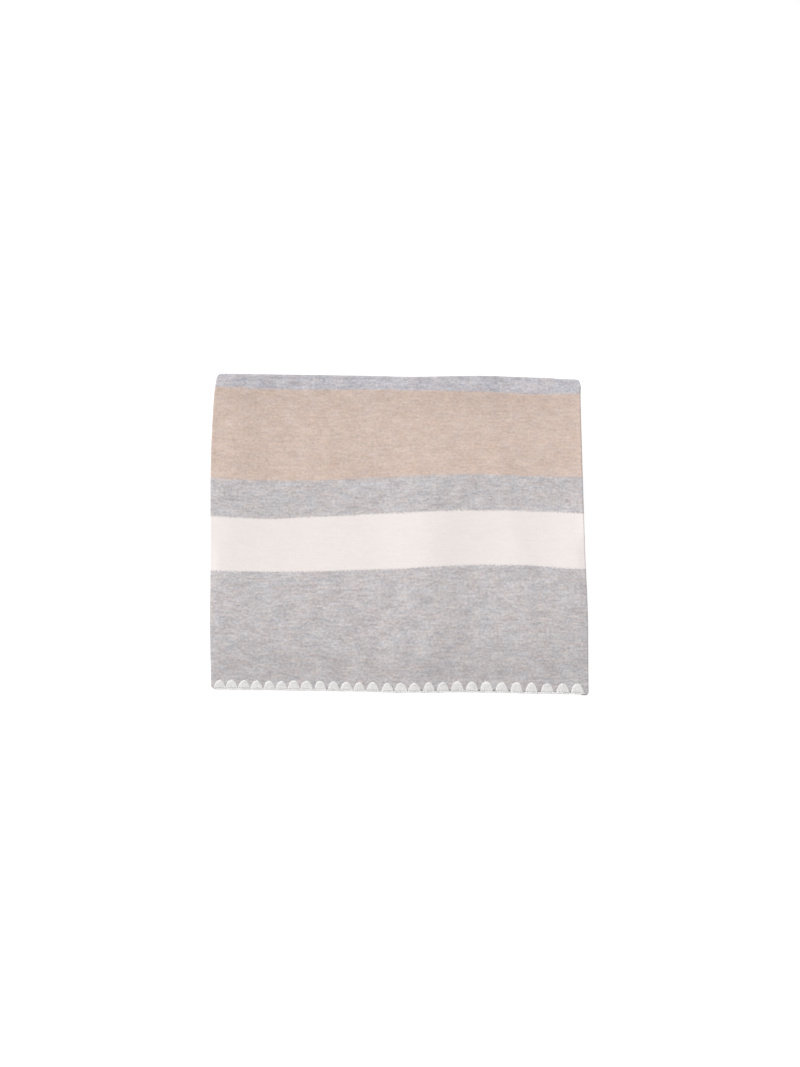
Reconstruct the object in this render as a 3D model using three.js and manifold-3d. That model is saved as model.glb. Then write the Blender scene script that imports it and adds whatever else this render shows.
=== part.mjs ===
// A striped cashmere scarf, folded in a zigzag of six layers and lying flat.
// Its trimmed end lies on top at the front (-Y) and the first fold is at the back (+Y).
// Every piece is laid out on a flat plan first, and settle() then gives it the true
// outline of the pile and the soft ripples of its top. All sizes are in millimetres.

import * as THREE from 'three';
import { mergeVertices } from 'three/addons/utils/BufferGeometryUtils.js';
import Module from 'manifold-3d';

// Driving dimensions.
const SCARF_WIDTH = 360;       // selvedge to selvedge
const FOLD_LENGTH = 302;       // front edge of the pile to its back fold
const LAYERS = 6;              // layer 1 is on top, layer 6 lies on the table
const CLOTH = 2.0;             // thickness of the knitted cloth
const LAYER_PITCH = 2.6;       // from the middle of one layer to the next
const SEAM_GAP = 0.3;          // between pieces that meet

// Folds and ends.
const FOLD_TAIL = 8;           // how far an outer panel runs on past its fold
const TAIL_SLOPE = 6;          // the hidden layers slope clear of that tail over this length
const FRONT_SETBACK = 30;      // the upper hidden front fold stops this far inside the edge
const FRONT_STAGGER = 8;       // the lower hidden front fold stops this much earlier
const BACK_SETBACK = 5;        // the hidden back fold stops this far inside the back edge
const SIDE_SETBACK = 2;        // the hidden layers' sides lie at least this far in
const SIDE_STAGGER = 1.2;      // every other hidden layer lies this much further in
const SIDE_STEP = 0.3;         // and each one this much further for each layer above it
const UNDER_INSET = 3;         // the under panel's sides lie this far in
const GROOVE_DEPTH = 3;        // depth of the grooves between hidden layers
const CORNER_RADIUS = 5;       // plan radius of the cloth's corners
const EDGE_ROUNDING = 1.2;     // the cloth grows thin over this distance from its edge
const EDGE_SHARE = 0.35;       // and keeps this share of its thickness there
const END_DROOP = 2;           // how far the top end hangs below its layer
const DROOP_REACH = 36;        // over this length from the end
const END_RISE = 1.8;          // how far the lower end lies up on its own edging
const BACK_PUFF = 0.1;         // the soft folds make the back this much higher
const FRONT_PRESS = 0.42;      // and the thin front is this much lower
const FRONT_REACH = 85;        // over this stretch behind the front edge

// White hand-worked edging: fans of yarn on both faces, joined by a rim round the end.
const FANS = 27;
const FAN_DEPTH = 8.5;         // from the hole in the cloth to the rim
const FAN_TOP = 4.6;           // width at the hole
const FAN_BASE = 11.2;         // width at the rim
const YARN = 1.1;              // thickness of the worked yarn in a fan
const RIM_YARN = 1.3;          // thickness of the rim
const RIM_WIDTH = 2.2;         // how far the rim reaches in over the cloth
const EDGING_MARGIN = 3;       // plain cloth past the first and the last fan
const PITCH_SPREAD = 0.07;     // fans stand closer at the left than at the right

const HALF_WIDTH = SCARF_WIDTH / 2;
const HALF_LENGTH = FOLD_LENGTH / 2;
const STACK_HEIGHT = CLOTH + (LAYERS - 1) * LAYER_PITCH;
const CLOTH_END = -HALF_LENGTH + RIM_YARN + SEAM_GAP;

const { lerp, smoothstep } = THREE.MathUtils;
const layerMiddle = (layer) => CLOTH / 2 + (LAYERS - layer) * LAYER_PITCH;
const hump = (x, middle, reach) => Math.exp(-(((x - middle) / reach) ** 2));

// Outline of the pile. The pile lies a little askew and is narrower at the back.
const leftSide = (y) => -179.3 + 5.5 * (Math.max(y - 40, 0) / 115) ** 2 - 0.6 * hump(y, -85, 40);
const rightSide = (y) => 178.4 - 0.031 * y + hump(y, -75, 45);
const backFold = (x) => 151.2 - 0.0125 * x + 1.2 * hump(x, 85, 40) - 0.6 * hump(x, 10, 30);
const frontEdge = (x) => -150.2 - 0.0135 * x + 0.5 * hump(x, 75, 40) - 0.7 * hump(x, 0, 30);

// Soft ripples that run from front to back over the top of the pile.
const RIPPLES = [
  // x at the middle of the pile, lean in x for each millimetre of y, reach, height
  { x: -150, lean: -0.08, reach: 20, height: 0.8 },
  { x: 24, lean: 0.05, reach: 42, height: 1.0 },
  { x: 110, lean: -0.03, reach: 15, height: 0.5 },
  { x: 168, lean: 0.02, reach: 18, height: 0.5 },
];

function ripple(x, y) {
  let height = 0;
  for (const wave of RIPPLES) {
    height += wave.height * hump(x, wave.x + wave.lean * y, wave.reach);
  }
  return height;
}

// Moves a point of the flat plan to its place in the real pile.
function settle(point) {
  const along = (point.y + HALF_LENGTH) / FOLD_LENGTH;
  const y = lerp(frontEdge(point.x), backFold(point.x), along);
  const across = (point.x + HALF_WIDTH) / SCARF_WIDTH;
  const x = lerp(leftSide(y), rightSide(y), across);
  const back = BACK_PUFF * smoothstep(y, HALF_LENGTH - 40, HALF_LENGTH - 5);
  const front = FRONT_PRESS * Math.max(1 - (y + HALF_LENGTH) / FRONT_REACH, 0) ** 2;
  const share = (point.z / STACK_HEIGHT) ** 2;
  return point.set(x, y, point.z * (1 + back - front) + share * ripple(x, y));
}

function settleAll(geometry) {
  const position = geometry.attributes.position;
  const point = new THREE.Vector3();
  for (let n = 0; n < position.count; n += 1) {
    settle(point.fromBufferAttribute(position, n));
    position.setXYZ(n, point.x, point.y, point.z);
  }
  return geometry;
}

// A closed box of unit cells whose surface points are moved one by one: place() turns the
// column, row and level of a point into its place on the flat plan.
function gridSolid(columns, rows, levels, place) {
  const box = new THREE.BoxGeometry(columns, rows, levels, columns, rows, levels);
  box.deleteAttribute('normal');
  box.deleteAttribute('uv');
  const grid = mergeVertices(box);
  const position = grid.attributes.position;
  for (let n = 0; n < position.count; n += 1) {
    const column = Math.round(position.getX(n) + columns / 2);
    const row = Math.round(position.getY(n) + rows / 2);
    const level = Math.round(position.getZ(n) + levels / 2);
    const point = place(column, row, level);
    position.setXYZ(n, point.x, point.y, point.z);
  }
  return settleAll(grid);
}

// Steps from one edge to the other, close together at both edges for their rounding.
function edgedSteps(length, count, nearInsets, farInsets = nearInsets) {
  const steps = [...nearInsets];
  const first = nearInsets[nearInsets.length - 1];
  const last = length - farInsets[farInsets.length - 1];
  for (let n = 1; n < count; n += 1) {
    steps.push(lerp(first, last, n / count));
  }
  steps.push(...[...farInsets].reverse().map((inset) => length - inset));
  return steps;
}

// How far a rounded corner takes an edge in, at a distance from the side.
function cornerCut(distance, radius) {
  const short = Math.max(radius - distance, 0);
  return radius - Math.sqrt(radius * radius - short * short);
}

// Share of the full thickness at a distance from a rounded edge of the cloth.
function edgeShare(distance) {
  const short = Math.max(1 - distance / EDGE_ROUNDING, 0);
  return Math.max(Math.sqrt(1 - short * short), EDGE_SHARE);
}

// The middle line of an outer panel in the YZ plane, from its trimmed end at the front,
// back along its layer, round its fold and into the neighbouring layer.
function panelRoute(middle, turn, rows, shift) {
  const route = [];
  const radius = LAYER_PITCH / 2;
  const foldY = HALF_LENGTH - radius - CLOTH / 2;
  const flat = foldY - CLOTH_END;
  const frontSteps = [0, 0.4, 1.2, 3, 6, 10, 15, 22, 30, 40, 52, 64, 76, 88];
  for (const step of edgedSteps(flat, rows, frontSteps, [0, 10])) {
    route.push({ y: CLOTH_END + step, z: middle + shift(step), ny: 0, nz: 1, step });
  }
  const foldSteps = 6;
  for (let n = 1; n <= foldSteps; n += 1) {
    const angle = (Math.PI * n) / foldSteps;
    const y = foldY + radius * Math.sin(angle);
    const z = middle + turn * radius * (1 - Math.cos(angle));
    route.push({ y, z, ny: -turn * Math.sin(angle), nz: Math.cos(angle), step: flat });
  }
  for (const tail of [FOLD_TAIL / 2, FOLD_TAIL]) {
    route.push({ y: foldY - tail, z: middle + turn * LAYER_PITCH, ny: 0, nz: -1, step: flat });
  }
  return route;
}

// An outer panel: a wall of cloth along its route, with rounded selvedges and corners.
function panel(middle, turn, inset, columns, rows, shift) {
  const across = edgedSteps(SCARF_WIDTH - 2 * inset, columns, [0, 0.5, 2, CORNER_RADIUS]);
  const route = panelRoute(middle, turn, rows, shift);
  return gridSolid(across.length - 1, route.length - 1, 1, (column, row, level) => {
    const stop = route[row];
    const side = Math.min(across[column], SCARF_WIDTH - 2 * inset - across[column]);
    const narrow = cornerCut(stop.step, CORNER_RADIUS);
    const shrink = 1 - narrow / (HALF_WIDTH - inset);
    const x = (across[column] - HALF_WIDTH + inset) * shrink;
    const pullIn = cornerCut(side, CORNER_RADIUS) * smoothstep(stop.y, HALF_LENGTH - 12, HALF_LENGTH - 3);
    const half = (CLOTH / 2) * edgeShare(side) * edgeShare(stop.step);
    const face = level === 1 ? half : -half;
    return new THREE.Vector3(x, stop.y - pullIn + face * stop.ny, stop.z + face * stop.nz);
  });
}

const endDroop = (step) => -END_DROOP * (1 - smoothstep(step, 0, DROOP_REACH));
const endRise = (step) => END_RISE * (1 - smoothstep(step, FAN_DEPTH, FRONT_SETBACK));

// The hidden layers as one solid. At each level of its sides the outline swells over a layer
// and draws in between two layers. At the front two folds show and at the back one.
function hiddenLayers() {
  const columns = 26;
  const lengthwise = edgedSteps(1, 4, [0, 0.04, 0.08, 0.12, 0.17, 0.22], [0]);
  const first = 2;
  const last = LAYERS - 1;
  const levelsOf = [-1, -0.5, 0.5, 1];
  const levels = [];
  for (let layer = last; layer >= first; layer -= 1) {
    for (const share of levelsOf) {
      levels.push({ layer, share, z: layerMiddle(layer) + (share * CLOTH) / 2 });
    }
  }
  const foldSwell = (z, middle) => {
    const offset = Math.min(Math.abs(z - middle) / (LAYER_PITCH / 2 + CLOTH / 2), 1);
    return GROOVE_DEPTH * Math.sqrt(1 - offset * offset);
  };
  const foldBetween = (layer) => (layerMiddle(layer) + layerMiddle(layer + 1)) / 2;
  const tailEnd = HALF_LENGTH - LAYER_PITCH / 2 - CLOTH / 2 - FOLD_TAIL - SEAM_GAP;
  const across = edgedSteps(2, columns - 2, [0, 0.02]);
  return gridSolid(columns, lengthwise.length - 1, levels.length - 1, (column, row, level) => {
    const { layer, share, z } = levels[level];
    const inset = SIDE_SETBACK + (layer % 2) * SIDE_STAGGER + SIDE_STEP * layer;
    const side = HALF_WIDTH - inset - (Math.abs(share) === 1 ? GROOVE_DEPTH : 0);
    const frontLayer = layer <= 3 ? 2 : 4;
    const setback = FRONT_SETBACK + (frontLayer === 4 ? FRONT_STAGGER : 0);
    const front = -HALF_LENGTH + setback + GROOVE_DEPTH - foldSwell(z, foldBetween(frontLayer));
    const inner = layer === 3 || layer === 4;
    const facesTail = (layer === first && share === -1) || (layer === last && share === 1);
    const outerBack = tailEnd - (facesTail ? TAIL_SLOPE : 0);
    const back = inner ? HALF_LENGTH - BACK_SETBACK + foldSwell(z, foldBetween(3)) : outerBack;
    const x = side * (across[column] - 1);
    const near = side - Math.abs(x);
    const cut = cornerCut(near, CORNER_RADIUS);
    const y = lerp(front + cut, back - cut, lengthwise[row]);
    return new THREE.Vector3(x, y, z);
  });
}

// Places the fans evenly, a little wider apart towards the right.
function fanMiddles() {
  const reach = HALF_WIDTH - EDGING_MARGIN - FAN_BASE / 2;
  const middles = [];
  for (let n = 0; n < FANS; n += 1) {
    const t = (2 * n) / (FANS - 1) - 1;
    middles.push(reach * (t + PITCH_SPREAD * (t * t - 1)));
  }
  return middles;
}

// One fan of the edging, a rounded wedge between two heights.
function fan(x, bottom) {
  const shape = new THREE.Shape();
  const rimY = -HALF_LENGTH + RIM_YARN;
  const arcY = -HALF_LENGTH + FAN_DEPTH + RIM_YARN - FAN_TOP / 2;
  shape.moveTo(x - FAN_BASE / 2, rimY);
  shape.lineTo(x + FAN_BASE / 2, rimY);
  shape.absarc(x, arcY, FAN_TOP / 2, 0, Math.PI, false);
  shape.closePath();
  return new THREE.ExtrudeGeometry(shape, { depth: YARN, bevelEnabled: false, curveSegments: 3 })
    .translate(0, 0, bottom);
}

// The rim, a channel round the trimmed end of the cloth, open towards the cloth.
function rim(bottom, top) {
  const outer = -HALF_LENGTH;
  const lip = outer + RIM_YARN + RIM_WIDTH;
  const shape = new THREE.Shape();
  shape.moveTo(outer + RIM_YARN / 2, bottom - RIM_YARN);
  shape.lineTo(lip, bottom - RIM_YARN);
  shape.lineTo(lip, bottom);
  shape.lineTo(outer + RIM_YARN, bottom);
  shape.lineTo(outer + RIM_YARN, top);
  shape.lineTo(lip, top);
  shape.lineTo(lip, top + RIM_YARN);
  shape.lineTo(outer + RIM_YARN / 2, top + RIM_YARN);
  shape.lineTo(outer, top);
  shape.lineTo(outer, bottom);
  shape.closePath();
  const length = 2 * (HALF_WIDTH - EDGING_MARGIN - 1);
  const bar = new THREE.ExtrudeGeometry(shape, { depth: length, steps: FANS, bevelEnabled: false });
  // The shape's X and Y become the scarf's Y and Z, and its depth runs along X.
  bar.applyMatrix4(new THREE.Matrix4().set(0, 0, 1, -length / 2, 1, 0, 0, 0, 0, 1, 0, 0, 0, 0, 0, 1));
  return bar;
}

const wasm = await Module();
wasm.setup();

function toSolid(geometry) {
  const bare = geometry.clone();
  bare.deleteAttribute('normal');
  bare.deleteAttribute('uv');
  const merged = mergeVertices(bare);
  return new wasm.Manifold(new wasm.Mesh({
    numProp: 3,
    vertProperties: new Float32Array(merged.attributes.position.array),
    triVerts: new Uint32Array(merged.index.array),
  }));
}

function fromSolid(solid) {
  const mesh = solid.getMesh();
  const geometry = new THREE.BufferGeometry();
  geometry.setAttribute('position', new THREE.BufferAttribute(mesh.vertProperties, 3));
  geometry.setIndex(new THREE.BufferAttribute(mesh.triVerts, 1));
  return geometry;
}

// The edging of one end: the rim with its fans on both faces of the cloth.
// The cloth's own slope at that end is given by shift(step from the end).
function edging(middle, inset, shift) {
  const top = middle + CLOTH / 2 + SEAM_GAP;
  const bottom = middle - CLOTH / 2 - SEAM_GAP;
  const squeeze = (HALF_WIDTH - inset) / HALF_WIDTH;
  const follow = (geometry) => {
    const position = geometry.attributes.position;
    for (let n = 0; n < position.count; n += 1) {
      position.setX(n, position.getX(n) * squeeze);
      const step = Math.max(position.getY(n) - CLOTH_END, 0);
      position.setZ(n, position.getZ(n) + shift(step));
    }
    return toSolid(settleAll(geometry));
  };
  // The fans lie a little inside the rim's lips, so that their faces never meet flush.
  const sunk = (RIM_YARN - YARN) / 2;
  let solid = follow(rim(bottom, top));
  for (const x of fanMiddles()) {
    solid = solid.add(follow(fan(x, top + sunk))).add(follow(fan(x, bottom - sunk - YARN)));
  }
  return fromSolid(solid);
}

const greyMarl = new THREE.MeshStandardMaterial({ color: 0xc3bfc0, roughness: 0.95, metalness: 0 });
const innerMarl = new THREE.MeshStandardMaterial({ color: 0xd2bfb3, roughness: 0.95, metalness: 0 });
const underMarl = new THREE.MeshStandardMaterial({ color: 0xb9b5b6, roughness: 0.95, metalness: 0 });
const whiteYarn = new THREE.MeshStandardMaterial({ color: 0xeeedeb, roughness: 0.9, metalness: 0 });

const scarf = new THREE.Group();

function addPiece(name, geometry, material) {
  geometry.computeVertexNormals();
  const mesh = new THREE.Mesh(geometry, material);
  mesh.name = name;
  scarf.add(mesh);
}

addPiece('end_panel', panel(layerMiddle(1), -1, 0, 24, 5, endDroop), greyMarl);
addPiece('folded_layers', hiddenLayers(), innerMarl);
addPiece('under_panel', panel(layerMiddle(LAYERS), 1, UNDER_INSET, 20, 3, endRise), underMarl);
addPiece('end_edging', edging(layerMiddle(1), 0, endDroop), whiteYarn);
addPiece('under_edging', edging(layerMiddle(LAYERS), UNDER_INSET, endRise), whiteYarn);

// The origin is the middle of the bottom of the box that the scarf fills, on the table.
const box = new THREE.Box3().setFromObject(scarf);
const middle = box.getCenter(new THREE.Vector3());
scarf.position.set(-middle.x, -middle.y, -box.min.z);

export default scarf;
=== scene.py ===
"""Looks of a striped cashmere scarf, folded in a zigzag of six layers and lying flat.

The cloth is one knitted length with rounded selvedges. Both trimmed ends carry a white
edging worked by hand: fans of plied yarn that share a hole in the cloth, joined by a chain
along the edge. Sizes are in metres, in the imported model's frame: +Z up, -Y to the front.
"""

import logging
import math
from dataclasses import dataclass
from enum import Enum
from typing import Callable

import bpy
import numpy as np
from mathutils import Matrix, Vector


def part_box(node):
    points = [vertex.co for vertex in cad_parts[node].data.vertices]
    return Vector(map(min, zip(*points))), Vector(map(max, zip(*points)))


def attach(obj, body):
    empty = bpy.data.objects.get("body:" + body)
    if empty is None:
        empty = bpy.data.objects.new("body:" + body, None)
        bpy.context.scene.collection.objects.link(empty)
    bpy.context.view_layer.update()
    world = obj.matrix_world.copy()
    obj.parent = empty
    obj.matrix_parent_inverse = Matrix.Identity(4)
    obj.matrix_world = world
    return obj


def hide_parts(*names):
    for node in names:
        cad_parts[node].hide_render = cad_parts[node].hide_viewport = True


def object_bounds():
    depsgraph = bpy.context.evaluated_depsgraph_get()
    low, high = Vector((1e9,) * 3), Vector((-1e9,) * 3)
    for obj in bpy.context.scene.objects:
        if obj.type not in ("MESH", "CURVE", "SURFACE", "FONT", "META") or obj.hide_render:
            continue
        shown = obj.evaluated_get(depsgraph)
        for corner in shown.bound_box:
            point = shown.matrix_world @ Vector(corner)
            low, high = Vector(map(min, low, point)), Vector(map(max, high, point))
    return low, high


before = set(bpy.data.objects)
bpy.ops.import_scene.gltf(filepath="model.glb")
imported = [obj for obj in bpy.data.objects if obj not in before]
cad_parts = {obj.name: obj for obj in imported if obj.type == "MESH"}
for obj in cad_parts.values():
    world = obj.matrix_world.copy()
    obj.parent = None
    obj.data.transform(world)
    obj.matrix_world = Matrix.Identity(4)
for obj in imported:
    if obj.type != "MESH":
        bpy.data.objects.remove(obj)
CAD_LOW, CAD_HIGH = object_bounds()

log = logging.getLogger("scarf")

MM = 0.001
CLOTH_UV = "cloth"
FOLD_SHADE_MASK = "fold"

Colour = tuple[float, float, float, float]
BLACK: Colour = (0.0, 0.0, 0.0, 1.0)
WHITE: Colour = (1.0, 1.0, 1.0, 1.0)


def smooth(value: np.ndarray | float, low: float, high: float) -> np.ndarray:
    """Return 0 below low, 1 above high and a smooth step between them."""
    t = np.clip((np.asarray(value, dtype=float) - low) / (high - low), 0.0, 1.0)
    return t * t * (3.0 - 2.0 * t)


def hump(value: np.ndarray | float, middle: float, reach: float) -> np.ndarray:
    """Return a soft hump of height 1 round middle."""
    return np.exp(-(((np.asarray(value, dtype=float) - middle) / reach) ** 2))


# ---------------------------------------------------------------- shader maths


class Value:
    """A shader socket that works with Python's operators; each one adds a Math node."""

    def __init__(self, shader: "Shader", socket: bpy.types.NodeSocket) -> None:
        """Wrap one output socket of a shader's tree."""
        self.shader = shader
        self.socket = socket

    def __add__(self, other: "Value | float") -> "Value":
        """Add."""
        return self.shader.maths("ADD", self, other)

    def __sub__(self, other: "Value | float") -> "Value":
        """Subtract."""
        return self.shader.maths("SUBTRACT", self, other)

    def __rsub__(self, other: float) -> "Value":
        """Subtract from a number."""
        return self.shader.maths("SUBTRACT", other, self)

    def __mul__(self, other: "Value | float") -> "Value":
        """Multiply."""
        return self.shader.maths("MULTIPLY", self, other)

    def __truediv__(self, other: "Value | float") -> "Value":
        """Divide."""
        return self.shader.maths("DIVIDE", self, other)

    __radd__ = __add__
    __rmul__ = __mul__

    def wrapped(self, length: float) -> "Value":
        """Repeat the value from 0 to length."""
        return self.shader.maths("FLOORED_MODULO", self, length)

    def stepped(self) -> "Value":
        """Round the value down."""
        return self.shader.maths("FLOOR", self)

    def sine(self) -> "Value":
        """Take the sine."""
        return self.shader.maths("SINE", self)

    def size(self) -> "Value":
        """Drop the sign."""
        return self.shader.maths("ABSOLUTE", self)


@dataclass(frozen=True)
class Grain:
    """Noise with grains of a given size: what it looks like and how strongly it is used."""

    wide: float
    tall: float
    seed: float
    detail: float
    weight: float = 1.0


class Shader:
    """Builds the node tree of one material."""

    def __init__(self, name: str) -> None:
        """Start an empty material of that name.

        Args:
            name: Name of the material.
        """
        self.material = bpy.data.materials.new(name)
        self.material.use_nodes = True
        self.tree = self.material.node_tree
        self.tree.nodes.clear()

    def node(
        self,
        kind: str,
        settings: dict | None = None,
        values: dict | None = None,
        output: int | str = 0,
    ) -> Value:
        """Add one node.

        Args:
            kind: The node's type, such as ShaderNodeTexNoise.
            settings: The node's own properties, set first; "stops" fills a colour ramp.
            values: A number, colour or link for each input, by name or place.
            output: The output socket that is wanted.

        Returns:
            The wanted output.
        """
        made = self.tree.nodes.new(kind)
        for name, setting in (settings or {}).items():
            if name == "stops":
                self._fill_ramp(made.color_ramp, setting)
            else:
                setattr(made, name, setting)
        for name, value in (values or {}).items():
            if isinstance(value, Value):
                self.tree.links.new(value.socket, made.inputs[name])
            else:
                made.inputs[name].default_value = value
        return Value(self, made.outputs[output])

    @staticmethod
    def _fill_ramp(ramp: bpy.types.ColorRamp, stops: list) -> None:
        """Give a colour ramp its stops, each a place and a colour.

        Args:
            ramp: The ramp.
            stops: The places from 0 to 1, each with a colour of three numbers.
        """
        while len(ramp.elements) < len(stops):
            ramp.elements.new(1.0)
        for element, (place, colour) in zip(ramp.elements, stops):
            element.position = place
            element.color = (*colour, 1.0)

    def maths(self, operation: str, *inputs: Value | float) -> Value:
        """Add a Math node with these inputs."""
        return self.node("ShaderNodeMath", {"operation": operation}, dict(enumerate(inputs)))

    def blend(
        self,
        factor: Value | float,
        first: Value | Colour,
        second: Value | Colour,
        way: str = "MIX",
    ) -> Value:
        """Mix two colours.

        Args:
            factor: 0 for the first colour, 1 for the second.
            first: A colour of four numbers, or a link.
            second: A colour of four numbers, or a link.
            way: The blend type of the Mix node.

        Returns:
            The mixed colour.
        """
        settings = {"data_type": "RGBA", "blend_type": way, "clamp_factor": True}
        return self.node("ShaderNodeMix", settings, {0: factor, 6: first, 7: second}, 2)

    def spread(self, value: Value, low: float, high: float) -> Value:
        """Stretch the range low to high to 0 to 1, and clamp it.

        Args:
            value: The value.
            low: What becomes 0.
            high: What becomes 1.

        Returns:
            The stretched value.
        """
        return self.node(
            "ShaderNodeMapRange",
            {"clamp": True},
            {"Value": value, "From Min": low, "From Max": high},
        )

    def along_uv(self, name: str) -> tuple[Value, Value]:
        """Return the two coordinates of a named UV map.

        Args:
            name: Name of the UV map.

        Returns:
            The coordinate across and the one along.
        """
        place = self.node("ShaderNodeUVMap", {"uv_map": name})
        split = self.node("ShaderNodeSeparateXYZ", values={0: place})
        return split, Value(self, split.socket.node.outputs[1])

    def noise(self, x: Value, y: Value, grain: Grain) -> Value:
        """Add noise whose grains have a given size.

        Args:
            x: The coordinate across.
            y: The coordinate along.
            grain: Size of the grains; its seed moves the pattern, so that no two are alike.

        Returns:
            The noise, round 0.5.
        """
        moved_x = x / grain.wide + grain.seed
        moved_y = y / grain.tall + 1.7 * grain.seed
        where = self.node("ShaderNodeCombineXYZ", values={0: moved_x, 1: moved_y})
        values = {"Vector": where, "Scale": 1.0, "Detail": grain.detail, "Roughness": 0.55}
        return self.node("ShaderNodeTexNoise", {"noise_dimensions": "2D"}, values)

    def bump(self, height: Value, distance: float, strength: float) -> Value:
        """Turn a height of 0 to 1 into a bumped normal, distance metres deep.

        Args:
            height: The height.
            distance: Depth of the relief in metres.
            strength: Share of the bump that is used.

        Returns:
            The bumped normal.
        """
        return self.node(
            "ShaderNodeBump",
            values={"Height": height, "Distance": distance, "Strength": strength},
        )

    def finish(self, inputs: dict) -> bpy.types.Material:
        """Add the surface shader with its inputs and return the material.

        Args:
            inputs: A number, colour or link for each of its inputs, by name.

        Returns:
            The finished material.
        """
        surface = self.node("ShaderNodeBsdfPrincipled", values=inputs)
        out = self.tree.nodes.new("ShaderNodeOutputMaterial")
        self.tree.links.new(surface.socket, out.inputs["Surface"])
        return self.material


# -------------------------------------------------------------------- finishes


class Stripe(Enum):
    """The colours that the cloth is knitted in, each with its dark and light fibres."""

    GREY = ((0.437, 0.41, 0.418), (0.694, 0.656, 0.66), 1.0)
    COOL_GREY = ((0.422, 0.406, 0.441), (0.687, 0.664, 0.694), 1.0)
    CAMEL = ((0.558, 0.434, 0.372), (0.755, 0.614, 0.546), 0.85)
    CREAM = ((0.845, 0.775, 0.755), (0.925, 0.86, 0.835), 0.5)

    @property
    def dark(self) -> tuple[float, float, float]:
        """Colour of the darker fibres."""
        return self.value[0]

    @property
    def light(self) -> tuple[float, float, float]:
        """Colour of the lighter fibres."""
        return self.value[1]

    @property
    def marl(self) -> float:
        """How strongly the two are set against each other."""
        return self.value[2]


@dataclass(frozen=True)
class StripePlan:
    """Where the stripes lie along the cloth, counted from either end."""

    end_grey: float = 115.6 * MM
    cream: float = 52.2 * MM
    narrow_grey: float = 35.3 * MM
    camel: float = 82.6 * MM
    wide_grey: float = 47.3 * MM
    fray: float = 1.1 * MM

    @property
    def repeat(self) -> float:
        """Length of one repeat."""
        return self.cream + self.narrow_grey + self.camel + self.wide_grey

    def stops(self, pick: Callable[[Stripe], tuple]) -> list:
        """List the stops of a ramp over one repeat.

        Args:
            pick: Takes what the ramp shows from a stripe.

        Returns:
            Places from 0 to 1 and colours, with a short blend at each change of yarn.
        """
        order = [
            (0.0, Stripe.GREY),
            (self.fray, Stripe.CREAM),
            (self.cream, Stripe.CREAM),
            (self.cream + self.fray, Stripe.GREY),
            (self.cream + self.narrow_grey, Stripe.GREY),
            (self.cream + self.narrow_grey + self.fray, Stripe.CAMEL),
            (self.cream + self.narrow_grey + self.camel, Stripe.CAMEL),
            (self.cream + self.narrow_grey + self.camel + self.fray, Stripe.COOL_GREY),
        ]
        return [(place / self.repeat, pick(stripe)) for place, stripe in order]


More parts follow.
